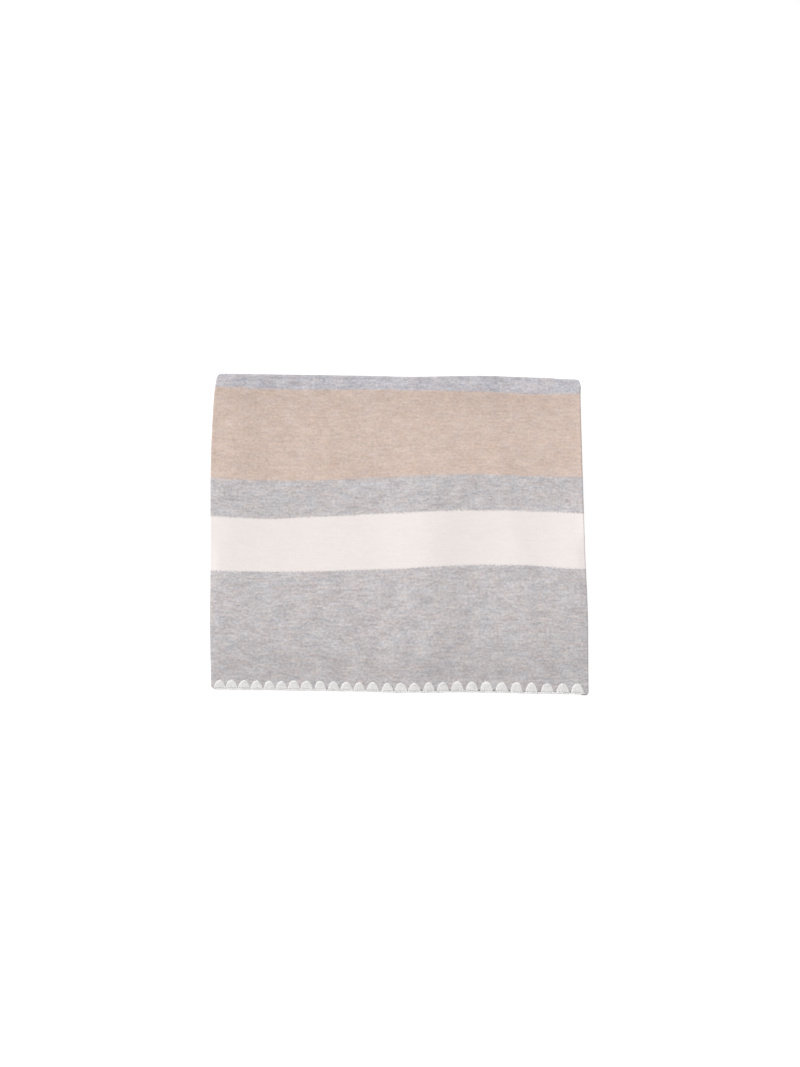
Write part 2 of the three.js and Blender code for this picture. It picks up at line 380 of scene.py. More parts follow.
@dataclass(frozen=True)
class MilledKnit:
    """Soft milled knit in marl yarn: dashes of fibre along the courses, under a short nap."""

    plan: StripePlan = StripePlan()
    course: float = 1.45 * MM
    wale: float = 2.0 * MM
    dash: Grain = Grain(5.5 * MM, 0.31 * MM, 3.1, 1.0, weight=0.7)
    streak: Grain = Grain(15.0 * MM, 2.6 * MM, 7.3, 2.0, weight=0.85)
    fleck: Grain = Grain(2.5 * MM, 2.0 * MM, 11.9, 1.0, weight=1.05)
    cloud: Grain = Grain(17.0 * MM, 12.0 * MM, 23.0, 2.0, weight=0.75)
    fray: Grain = Grain(1.9 * MM, 1.4 * MM, 41.0, 2.0, weight=3.8 * MM)
    tint: Grain = Grain(11.0 * MM, 6.0 * MM, 31.0, 1.0)
    tint_cool: Colour = (0.976, 1.0, 1.02, 1.0)
    tint_warm: Colour = (1.026, 1.0, 0.98, 1.0)
    patch: Grain = Grain(52.0 * MM, 24.0 * MM, 61.0, 1.0)
    patch_cool: Colour = (0.992, 1.003, 1.008, 1.0)
    patch_warm: Colour = (1.008, 0.997, 0.992, 1.0)
    nap: Grain = Grain(0.6 * MM, 0.9 * MM, 53.0, 3.0, weight=0.4)
    relief: float = 0.22 * MM
    roughness: float = 0.95
    sheen: float = 0.15
    # Share of painted shade that darkens the cloth round its back folds.
    fold_shade: float = 0.16

    def material(self, length: float) -> bpy.types.Material:
        """Build the material of a cloth of that length.

        Args:
            length: Length of the cloth laid out flat.

        Returns:
            The knit's material.
        """
        shader = Shader("striped_marl_knit")
        u, v = shader.along_uv(CLOTH_UV)
        row = (v / self.course).stepped()
        dash = shader.noise(u, row * self.course, self.dash)
        streak = shader.noise(u, v, self.streak)
        fleck = shader.noise(u, v, self.fleck)
        cloud = shader.noise(u, v, self.cloud)
        marl = 0.5 + (
            (dash - 0.5) * self.dash.weight
            + (streak - 0.5) * self.streak.weight
            + (fleck - 0.5) * self.fleck.weight
            + (cloud - 0.5) * self.cloud.weight
        )
        colour = self._stripes(shader, u, v, marl, length)
        return shader.finish(
            {
                "Base Color": colour,
                "Roughness": self.roughness,
                "Sheen Weight": self.sheen,
                "Sheen Roughness": 0.5,
                "Specular IOR Level": 0.2,
                "Normal": self._relief(shader, u, v, fleck),
            }
        )

    def _stripes(self, shader: Shader, u: Value, v: Value, marl: Value, length: float) -> Value:
        """Lay the marl in each stripe's own fibres.

        Args:
            shader: The tree that is built.
            u: Place across the cloth.
            v: Place along the cloth.
            marl: Share of light fibres, round 0.5.
            length: Length of the cloth, whose two halves mirror each other.

        Returns:
            The cloth's colour, with painted shade round the back folds.
        """
        middle = length / 2
        from_end = middle - (v - middle).size()
        frayed = from_end + (shader.noise(u, v, self.fray) - 0.5) * self.fray.weight
        into = shader.maths("MAXIMUM", frayed - self.plan.end_grey, 0.0)
        place = into.wrapped(self.plan.repeat) / self.plan.repeat
        ramp = "ShaderNodeValToRGB"
        dark = shader.node(ramp, {"stops": self.plan.stops(lambda s: s.dark)}, {0: place})
        light = shader.node(ramp, {"stops": self.plan.stops(lambda s: s.light)}, {0: place})
        force = shader.node(ramp, {"stops": self.plan.stops(lambda s: (s.marl,) * 3)}, {0: place})
        colour = shader.blend(0.5 + (marl - 0.5) * force, dark, light)
        dyed = colour
        for grain, cool, warm in (
            (self.tint, self.tint_cool, self.tint_warm),
            (self.patch, self.patch_cool, self.patch_warm),
        ):
            share = shader.spread(shader.noise(u, v, grain), 0.3, 0.7)
            dyed = shader.blend(1.0, dyed, shader.blend(share, cool, warm), "MULTIPLY")
        # Pale wool takes hardly any tint: the cast fades out where the marl is weak.
        knit = shader.blend((force - 0.5) * 2.0, colour, dyed)
        # Painted shade: the cloth is darkened round the back folds, where the rounding turns away
        # from the light.
        fold = shader.node("ShaderNodeAttribute", {"attribute_name": FOLD_SHADE_MASK}, output="Fac")
        return shader.blend(fold * self.fold_shade, knit, BLACK)

    def _relief(self, shader: Shader, u: Value, v: Value, fleck: Value) -> Value:
        """Raise the stitches, half hidden by the nap.

        Args:
            shader: The tree that is built.
            u: Place across the cloth.
            v: Place along the cloth.
            fleck: Fine noise that stands for tufts of nap.

        Returns:
            The bumped normal.
        """
        leg = ((u / self.wale).wrapped(1.0) - 0.5).size() * 2.0
        slant = (v / self.course + leg * 0.5).wrapped(1.0)
        arch = (slant * math.pi).sine()
        groove = 1.0 - (leg - 0.5) * (leg - 0.5) * 1.6
        nap = shader.noise(u, v, self.nap)
        height = arch * groove * 0.35 + nap * self.nap.weight + fleck * 0.5
        return shader.bump(height, self.relief, 0.6)


@dataclass(frozen=True)
class PliedYarn:
    """Matt white yarn of the edging, with fine fibres that wind round each strand."""

    dark: Colour = (0.835, 0.82, 0.81, 1.0)
    light: Colour = (0.93, 0.915, 0.9, 1.0)
    fibre: float = 0.35 * MM
    shade: float = 6.0 * MM
    relief: float = 0.12 * MM
    roughness: float = 0.9
    sheen: float = 0.2

    def material(self) -> bpy.types.Material:
        """Build the edging's material.

        Returns:
            The yarn's material.
        """
        shader = Shader("white_plied_yarn")
        place = shader.node("ShaderNodeTexCoord", output="Object")
        values = {"Vector": place, "Scale": 1.0 / self.fibre, "Detail": 3.0}
        fibres = shader.node("ShaderNodeTexNoise", values=values)
        values = {"Vector": place, "Scale": 1.0 / self.shade, "Detail": 1.0}
        shade = shader.node("ShaderNodeTexNoise", values=values)
        mix = shader.spread(fibres * 0.5 + shade * 0.5, 0.35, 0.65)
        return shader.finish(
            {
                "Base Color": shader.blend(mix, self.dark, self.light),
                "Roughness": self.roughness,
                "Sheen Weight": self.sheen,
                "Sheen Roughness": 0.5,
                "Specular IOR Level": 0.25,
                "Normal": shader.bump(fibres, self.relief, 0.6),
            }
        )


@dataclass(frozen=True)
class PaleFloor:
    """Plain white table top."""

    colour: Colour = (0.3, 0.3, 0.3, 1.0)
    glow: float = 0.86

    def material(self) -> bpy.types.Material:
        """Build the floor's material.

        Returns:
            The floor's material.
        """
        shader = Shader("pale_floor")
        return shader.finish(
            {
                "Base Color": self.colour,
                "Roughness": 0.9,
                "Emission Color": WHITE,
                "Emission Strength": self.glow,
            }
        )


# --------------------------------------------------------------- the folded pile


@dataclass
class Pile:
    """Form of the folded pile: its layers, its outline from above and its soft ripples.

    Points are laid out on a flat plan, with x across, y from front to back and z up, and
    settle() moves them to their places in the real pile.
    """

    width: float = 360 * MM
    depth: float = 302 * MM
    layers: int = 6
    cloth: float = 2.0 * MM
    pitch: float = 2.6 * MM
    loop_radius: float = 1.75 * MM
    front_setback: float = 30 * MM
    front_stagger: float = 8 * MM
    front_press: float = 0.46
    front_reach: float = 96 * MM
    end_inset: float = 1.3 * MM
    droop: float = 2.4 * MM
    droop_reach: float = 42 * MM
    end_rise: float = 2.1 * MM
    rise_start: float = 9 * MM
    rippled_height: float = 15 * MM

    def __post_init__(self) -> None:
        """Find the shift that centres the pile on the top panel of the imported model."""
        low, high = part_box("end_panel")
        self.shift = np.array([(low.x + high.x) / 2 - self._own_middle_x(), 0.0, 0.0])

    def _own_middle_x(self) -> float:
        """Middle of the outline between its furthest points left and right."""
        rows = np.linspace(-self.depth / 2, self.depth / 2, 200)
        return float((self.left(rows).min() + self.right(rows).max()) / 2)

    def left(self, y: np.ndarray) -> np.ndarray:
        """Left side of the pile at y.

        Args:
            y: Places from front to back.

        Returns:
            The place of the left side in x.
        """
        back = np.maximum(y - 40 * MM, 0.0) / (115 * MM)
        corner = 0.9 * smooth(y, 130 * MM, 150 * MM)
        return (-179.3 + 5.5 * back**2 - 0.6 * hump(y, -85 * MM, 40 * MM) + corner) * MM

    def right(self, y: np.ndarray) -> np.ndarray:
        """Right side of the pile at y.

        Args:
            y: Places from front to back.

        Returns:
            The place of the right side in x.
        """
        corner = 1.0 * smooth(y, 130 * MM, 150 * MM)
        return (178.4 + hump(y, -75 * MM, 45 * MM) + corner) * MM - 0.031 * y

    def back(self, x: np.ndarray) -> np.ndarray:
        """Back fold of the pile at x.

        Args:
            x: Places across the pile.

        Returns:
            The place of the back fold in y.
        """
        waves = 1.2 * hump(x, 85 * MM, 40 * MM) - 0.6 * hump(x, 10 * MM, 30 * MM)
        waves = waves - 1.1 * smooth(x, 146 * MM, 164 * MM)
        return (151.5 + waves) * MM - 0.0125 * x

    def front(self, x: np.ndarray) -> np.ndarray:
        """Front edge of the pile at x.

        Args:
            x: Places across the pile.

        Returns:
            The place of the front edge in y.
        """
        waves = 0.5 * hump(x, 75 * MM, 40 * MM) - 0.7 * hump(x, 0.0, 30 * MM)
        return (-150.2 + waves) * MM - 0.0135 * x

    def ripple(self, x: np.ndarray, y: np.ndarray) -> np.ndarray:
        """Height of the soft ripples, which run from front to back over the top of the pile.

        Args:
            x: Places across the pile.
            y: Places from front to back.

        Returns:
            The heights at the top of the pile.
        """
        # Heights in millimetres: some ripples grow or fade towards the back.
        far = smooth(y, 40 * MM, 105 * MM)
        near = 1 - smooth(y, -152 * MM, -110 * MM)
        left = 0.3 + 1.2 * smooth(y, -120 * MM, 30 * MM) + 1.0 * far
        middle = 2.9 - 1.3 * far
        right = 1.4 * smooth(y, -90 * MM, -20 * MM)
        broad = (
            left * hump(x, (-165 + 12 * far) * MM, (20 + 10 * far) * MM)
            + middle * hump(x, 32 * MM + 0.1 * y, 34 * MM)
            + 1.1 * hump(x, 112 * MM - 0.2 * y, 14 * MM)
            + right * hump(x, self.width / 2, 20 * MM)
        )
        fine = 0.25 * np.sin(x / (13 * MM) + y / (90 * MM))
        fine += 0.15 * np.sin(x / (31 * MM) - y / (24 * MM) + 1.0)
        # The front edge sinks a little, less so towards the right.
        sunk = 1.3 * near * (1 - 0.8 * smooth(x, 40 * MM, 170 * MM))
        return (broad + fine - sunk) * MM

    def layer_height(self, layer: int, y: np.ndarray | float) -> np.ndarray:
        """Height of a layer's middle above the table.

        Args:
            layer: 1 for the top layer.
            y: Place from front to back on the flat plan.

        Returns:
            The height, in which pairs of layers stand apart at the back fold.
        """
        even = self.cloth / 2 + (self.layers - layer) * self.pitch
        pair = (self.layers - layer) // 2
        upper = 1 if layer % 2 else -1
        pair_height = 2 * self.loop_radius + self.cloth + 0.3 * MM
        middle = self.loop_radius + self.cloth / 2 + pair * pair_height
        swollen = middle + upper * self.loop_radius
        at_back = smooth(y, self.depth / 2 - 42 * MM, self.depth / 2 - 4 * MM)
        return even + (swollen - even) * at_back

    def press(self, y: np.ndarray | float) -> np.ndarray:
        """Share of its height that the pile lacks at y, where it grows thin to the front."""
        near = 1 - (np.asarray(y) + self.depth / 2) / self.front_reach
        return self.front_press * np.clip(near, 0.0, 1.03) ** 2

    def settle(self, points: np.ndarray) -> np.ndarray:
        """Move points of the flat plan to their places in the real pile.

        Args:
            points: An array of x, y, z rows.

        Returns:
            The moved points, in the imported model's frame.
        """
        x, y, z = points.T
        along = (y + self.depth / 2) / self.depth
        new_y = self.front(x) + (self.back(x) - self.front(x)) * along
        across = (x + self.width / 2) / self.width
        new_x = self.left(new_y) + (self.right(new_y) - self.left(new_y)) * across
        share = np.clip(z / self.rippled_height, 0.0, 1.2) ** 2
        pressed = self.press(new_y) * (1 + 0.35 * smooth(new_x, 20 * MM, 190 * MM))
        new_z = z * (1 - pressed) + pressed * self.cloth / 2 + share * self.ripple(new_x, new_y)
        on_table = np.maximum(new_z, 0.0)
        return np.stack([new_x, new_y, on_table], axis=1) + self.shift

    def end_bend(self, layer: int, step: np.ndarray | float) -> np.ndarray:
        """Rise or droop of a trimmed end, at a step inwards from the front edge.

        Args:
            layer: 1 for the top end, otherwise the lowest one.
            step: Distance from the trimmed end.

        Returns:
            The change of height.
        """
        if layer == 1:
            return -self.droop * (1 - smooth(step, 0.0, self.droop_reach))
        return self.end_rise * (1 - smooth(step, self.rise_start, self.front_setback))


# -------------------------------------------------------------------- the cloth


@dataclass
class Station:
    """One row of the cloth: where its middle line is and which way its face looks."""

    run: float
    y: float
    z: float
    normal_y: float
    normal_z: float
    layer: float


@dataclass(frozen=True)
class Kink:
    """A soft local bend of the courses, with its middle and its reach across and along."""

    height: float
    x: float
    x_reach: float
    y: float
    y_reach: float

    def at(self, x: np.ndarray, y: float) -> np.ndarray:
        """Return the bend at these places."""
        across = hump(x, self.x * MM, self.x_reach * MM)
        return self.height * MM * across * hump(y, self.y * MM, self.y_reach * MM)


@dataclass
class ScarfCloth:
    """The striped cloth, one continuous knitted length folded in the pile's layers."""

    pile: Pile
    finish: MilledKnit
    columns: int = 132
    top_row: float = 3.2 * MM
    hidden_row: float = 12 * MM
    fold_rows: int = 12
    fold_swell: float = 1.12
    corner: float = 3 * MM
    back_corner: float = 4.2 * MM
    edge_rounding: float = 1.0 * MM
    edge_bead: float = 0.12
    fold_setbacks: tuple[float, float, float] = (0.0, 1.6 * MM, 0.7 * MM)
    kinks: tuple[Kink, ...] = (
        Kink(1.3, -86, 22, 19, 20),
        Kink(1.5, 148, 32, 34, 30),
        Kink(1.0, 122, 17, -34, 12),
        Kink(1.0, -38, 58, 18, 13),
        Kink(0.9, 110, 14, 18, 13),
    )

    def length(self) -> float:
        """Length of the cloth when it is laid out flat."""
        return self.stations()[-1].run

    def stations(self) -> list[Station]:
        """Walk along the cloth's middle line from its top end to its lowest end.

        Returns:
            The rows of the cloth, in order.
        """
        pile = self.pile
        rows: list[Station] = []
        back = pile.depth / 2 - pile.loop_radius - pile.cloth / 2
        front_end = -pile.depth / 2 + pile.end_inset
        front_fold = -pile.depth / 2 + pile.front_setback + pile.loop_radius + pile.cloth / 2
        run = 0.0
        for layer in range(1, pile.layers + 1):
            backwards = layer % 2 == 1
            stagger = pile.front_stagger if layer > 3 else 0.0
            near = front_end if layer in (1, pile.layers) else front_fold + stagger
            far = back - self.fold_setbacks[(layer - 1) // 2]
            step = self.top_row if layer == 1 else self.hidden_row
            ys = self._spaced(near, far, step)
            ys = ys if backwards else ys[::-1]
            sign = 1.0 if backwards else -1.0
            start = run
            for y in ys:
                z = float(pile.layer_height(layer, y))
                if layer in (1, pile.layers):
                    z += float(pile.end_bend(layer, y - near))
                rows.append(Station(start + abs(y - ys[0]), y, z, 0.0, sign, layer))
            run = start + abs(ys[-1] - ys[0])
            if layer < pile.layers:
                run = self._turn(rows, run, layer)
        return rows

    @staticmethod
    def _spaced(near: float, far: float, step: float) -> np.ndarray:
        """Space rows evenly, with close ones at both ends.

        Args:
            near: The first row.
            far: The last row.
            step: About how far the rows in between stand apart.

        Returns:
            The places of the rows.
        """
        ends = np.array([0.0, 0.15, 0.5, 1.2, 2.6]) * MM
        count = max(int(round((far - near - 2 * ends[-1]) / step)), 1)
        middle = np.linspace(near + ends[-1], far - ends[-1], count + 1)
        return np.concatenate([near + ends[:-1], middle, (far - ends[:-1])[::-1]])

    def _turn(self, rows: list[Station], run: float, layer: int) -> float:
        """Add the round fold between a layer and the next one down.

        Args:
            rows: The rows so far; the last one is where the fold starts.
            run: Length of the cloth so far.
            layer: The layer above the fold.

        Returns:
            Length of the cloth after the fold.
        """
        pile = self.pile
        start = rows[-1]
        below = float(pile.layer_height(layer + 1, start.y))
        radius = (start.z - below) / 2
        out = 1.0 if layer % 2 else -1.0
        for n in range(1, self.fold_rows + 1):
            angle = math.pi * n / self.fold_rows
            y = start.y + out * radius * math.sin(angle) * self.fold_swell
            z = start.z - radius * (1 - math.cos(angle))
            passed = layer + n / self.fold_rows
            facing = (math.sin(angle), out * math.cos(angle))
            rows.append(Station(run + radius * angle, y, z, *facing, passed))
        return run + math.pi * radius

    def across(self) -> tuple[np.ndarray, np.ndarray]:
        """Space the columns, close together at the rounded selvedges.

        Returns:
            Distance of each column from the left selvedge, and its share of the thickness.
        """
        edge = np.array([0.0, 0.07, 0.25, 0.55, 1.0, 1.8, 3.2, 5.2]) * MM
        middle = np.linspace(edge[-1], self.pile.width - edge[-1], self.columns - 2 * len(edge) + 2)
        places = np.concatenate([edge[:-1], middle, (self.pile.width - edge[:-1])[::-1]])
        side = np.minimum(places, self.pile.width - places)
        short = 1 - np.clip(side / self.edge_rounding, 0, 1)
        round_off = np.sqrt(np.clip(1 - short**2, 0, 1))
        bead = 1 + self.edge_bead * hump(side, 1.3 * MM, 0.9 * MM)
        return places, round_off * bead

    def fold_shade_reach(self) -> tuple[float, float]:
        """Where the painted shade towards a back fold starts, and where it is at full strength."""
        back = self.pile.depth / 2
        return back - 4 * MM, back - 1.6 * MM

    def side_inset(self, layer: float, y: float) -> tuple[float, float]:
        """How far a layer's selvedges lie inside the top layer's, left and right.

        Args:
            layer: 1 for the top layer, with fractions round a fold.
            y: Place from front to back on the flat plan.

        Returns:
            The distances at the left and at the right.
        """
        depth = max(layer - 1.0, 0.0)
        if depth == 0.0:
            return 0.0, 0.0
        # Each hidden layer lies in by its own amount, in millimetres, with a hand-folded wander.
        fade = min(depth, 1.0)
        wave = math.sin(y / (47 * MM) + 2.1 * layer) + 0.5 * math.sin(y / (19 * MM) + 1.3 * layer)
        other = math.sin(y / (53 * MM) + 4.0 + 1.7 * layer) + 0.5 * math.sin(y / (23 * MM) + layer)
        left = 1.8 + 0.5 * wave + 0.9 * math.sin(2.4 * layer)
        right = 1.9 + 0.5 * other + 0.9 * math.sin(1.9 * layer + 1.0)
        return fade * max(left, 0.4) * MM, fade * max(right, 0.4) * MM

    def corner_reach(self, places: np.ndarray, run: float) -> np.ndarray:
        """How far the top end's corners reach out beside the edging.

        Args:
            places: Distances from the left selvedge.
            run: Distance from the trimmed end.

        Returns:
            The shift to the front.
        """
        left = 1 - smooth(places, 3.4 * MM, 5.2 * MM)
        right = 2.3 * (1 - smooth(self.pile.width - places, 3.6 * MM, 6.8 * MM))
        return (left + right) * self.pile.end_inset * (1 - float(smooth(run, 0.0, 12 * MM)))

    def selvedge_sag(self, places: np.ndarray, y: float) -> np.ndarray:
        """How the top layer's selvedges hang at the front and curl up a little at the back.

        Args:
            places: Distances from the left selvedge.
            y: Place from front to back on the flat plan.

        Returns:
            The change of height.
        """
        # Heights at the very selvedge in millimetres, fading out inwards.
        back = float(smooth(y, -25 * MM, 10 * MM))
        far = float(smooth(y, 50 * MM, 80 * MM))
        left = -1.0 + 0.8 * back + 0.5 * far - 1.2 * float(hump(y, -52 * MM, 22 * MM))
        left = left * MM * (1 - smooth(places, 0.0, 7.5 * MM))
        right = (-1.0 + 1.6 * back) * MM * (1 - smooth(self.pile.width - places, 0.0, 8 * MM))
        return left + right

    def stripe_shift(self, x: np.ndarray, y: float) -> np.ndarray:
        """How far the courses of the top layer bow away from straight lines.

        Args:
            x: Places across the pile.
            y: Place from front to back on the flat plan.

        Returns:
            The shift towards the back.
        """
        # Shifts in millimetres. The bow is strongest in the body of the panel, and the courses
        # lie straight again at the trimmed end and at the fold.
        half_width = self.pile.width / 2
        body = math.exp(-(((y - 12 * MM) / (75 * MM)) ** 4))
        lean = float(hump(y, -5 * MM, 55 * MM))
        fine = float(smooth(y, -40 * MM, 15 * MM)) * (1 - float(smooth(y, 137 * MM, 150 * MM)))
        turn = 2 * math.pi * x / (420 * MM)
        bow = 3.7 * body * np.sin(turn) + 1.0 * body * np.cos(turn) + 2.2 * lean * x / half_width
        sway = 0.9 * np.cos(2 * math.pi * (x - 10 * MM) / (215 * MM)) - 0.5 * hump(x, 0.0, 60 * MM)
        at_right = 1.9 * smooth(x, 146 * MM, 168 * MM) * hump(y, 54 * MM, 15 * MM)
        at_right += 0.8 * smooth(x, 150 * MM, 170 * MM) * hump(y, 18 * MM, 12 * MM)
        far = float(smooth(y, 90 * MM, 130 * MM))
        askew = 0.3 - 1.1 * x / half_width + hump(x, -15 * MM, 60 * MM)
        askew += 1.3 * smooth(x, 144 * MM, 164 * MM)
        bends = sum(kink.at(x, y) for kink in self.kinks)
        return (bow + fine * sway + at_right + far * askew) * MM + bends

    def build(self) -> bpy.types.Object:
        """Build the cloth as one closed shell with its UV map in metres.

        Returns:
            The cloth's object, dressed in its finish.
        """
        rows = self.stations()
        places, share = self.across()
        top, bottom, uv = [], [], []
        for row in rows:
            face_points, back_points, coords = self._row(row, places, share, rows)
            top.append(face_points)
            bottom.append(back_points)
            uv.append(coords)
        vertices, faces, face_uv = self._close(np.array(top), np.array(bottom), np.array(uv))
        mesh = bpy.data.meshes.new("scarf_cloth")
        mesh.from_pydata(self.pile.settle(vertices).tolist(), [], faces)
        layer = mesh.uv_layers.new(name=CLOTH_UV)
        layer.data.foreach_set("uv", face_uv.ravel())
        # Mask of the painted shade: 0 on the flat layers, 1 round the back folds.
        folded = smooth([row.y for row in rows], *self.fold_shade_reach())
        fold = mesh.attributes.new(FOLD_SHADE_MASK, "FLOAT", "POINT")
        columns = len(places)
        shades = np.concatenate([np.repeat(folded, columns), np.repeat(folded[1:-1], columns - 2)])
        fold.data.foreach_set("value", shades)
        mesh.polygons.foreach_set("use_smooth", [True] * len(mesh.polygons))
        mesh.materials.append(self.finish.material(rows[-1].run))
        mesh.update()
        cloth = bpy.data.objects.new("scarf_cloth", mesh)
        bpy.context.scene.collection.objects.link(cloth)
        return cloth

    def _row(
        self, row: Station, places: np.ndarray, share: np.ndarray, rows: list[Station]
    ) -> tuple[np.ndarray, np.ndarray, np.ndarray]:
        """Lay one row of the cloth.

        Args:
            row: The row's station.
            places: Distances of the columns from the left selvedge.
            share: Share of the thickness at each column.
            rows: All the stations, for the distance to the ends.

        Returns:
            The points of the outer face, those of the inner face and the UV coordinates.
        """
        pile = self.pile
        half_width = pile.width / 2
        from_end = min(row.run, rows[-1].run - row.run)
        short_end = max(self.corner - from_end, 0.0)
        cut = self.corner - math.sqrt(max(self.corner**2 - short_end**2, 0.0))
        left, right = self.side_inset(row.layer, row.y)
        lowest, highest = -half_width + left + cut, half_width - right - cut
        x = lowest + (highest - lowest) * places / pile.width
        side = np.minimum(places, pile.width - places)
        short = np.clip(self.back_corner - side, 0.0, None)
        at_back = float(smooth(row.y, pile.depth / 2 - 12 * MM, pile.depth / 2 - 3 * MM))
        pull = (self.back_corner - np.sqrt(self.back_corner**2 - short**2)) * at_back
        end_share = math.sqrt(max(1 - (1 - min(from_end / self.edge_rounding, 1.0)) ** 2, 0.0))
        half = pile.cloth / 2 * share * end_share / (1 - float(pile.press(row.y)))
        y = np.full_like(x, row.y) - pull
        z = np.full_like(x, row.z)
        run = np.full_like(x, row.run)
        if row.layer == 1:
            y = y - self.corner_reach(places, row.run)
            z = z + self.selvedge_sag(places, row.y)
            run = run - self.stripe_shift(x, row.y)
        offset = np.stack([np.zeros_like(x), half * row.normal_y, half * row.normal_z], axis=1)
        middle = np.stack([x, y, z], axis=1)
        coords = np.stack([places - half_width, run], axis=1)
        return middle + offset, middle - offset, coords

    @staticmethod
    def _close(
        top: np.ndarray, bottom: np.ndarray, uv: np.ndarray
    ) -> tuple[np.ndarray, list[tuple[int, ...]], np.ndarray]:
        """Join both faces of the cloth into one closed shell.

        Args:
            top: Points of the outer face, by row and column.
            bottom: Points of the inner face, by row and column.
            uv: UV coordinates, by row and column.

        Returns:
            The points, the faces and the UV coordinates of the faces' corners.
        """
        rows, columns = top.shape[:2]
        outer = np.arange(rows * columns).reshape(rows, columns)
        inner = outer.copy()
        inside = np.arange((rows - 2) * (columns - 2)).reshape(rows - 2, columns - 2)
        inner[1:-1, 1:-1] = rows * columns + inside
        vertices = np.concatenate([top.reshape(-1, 3), bottom[1:-1, 1:-1].reshape(-1, 3)])
        flat_uv = uv.reshape(-1, 2)
        faces, corners = [], []
        for r in range(rows - 1):
            for c in range(columns - 1):
                ring = ((r, c), (r, c + 1), (r + 1, c + 1), (r + 1, c))
                faces.append(tuple(int(outer[p]) for p in ring))
                corners.extend(flat_uv[outer[p]] for p in ring)
                back = ring[::-1]
                faces.append(tuple(int(inner[p]) for p in back))
                corners.extend(flat_uv[outer[p]] for p in back)
        return vertices, faces, np.array(corners)


# ------------------------------------------------------------------- the edging


@dataclass(frozen=True)
class Fan:
    """One fan of the edging: its middle, its depth and its widths at the edge and the hole."""

    centre: float
    depth: float
    wide: float
    narrow: float


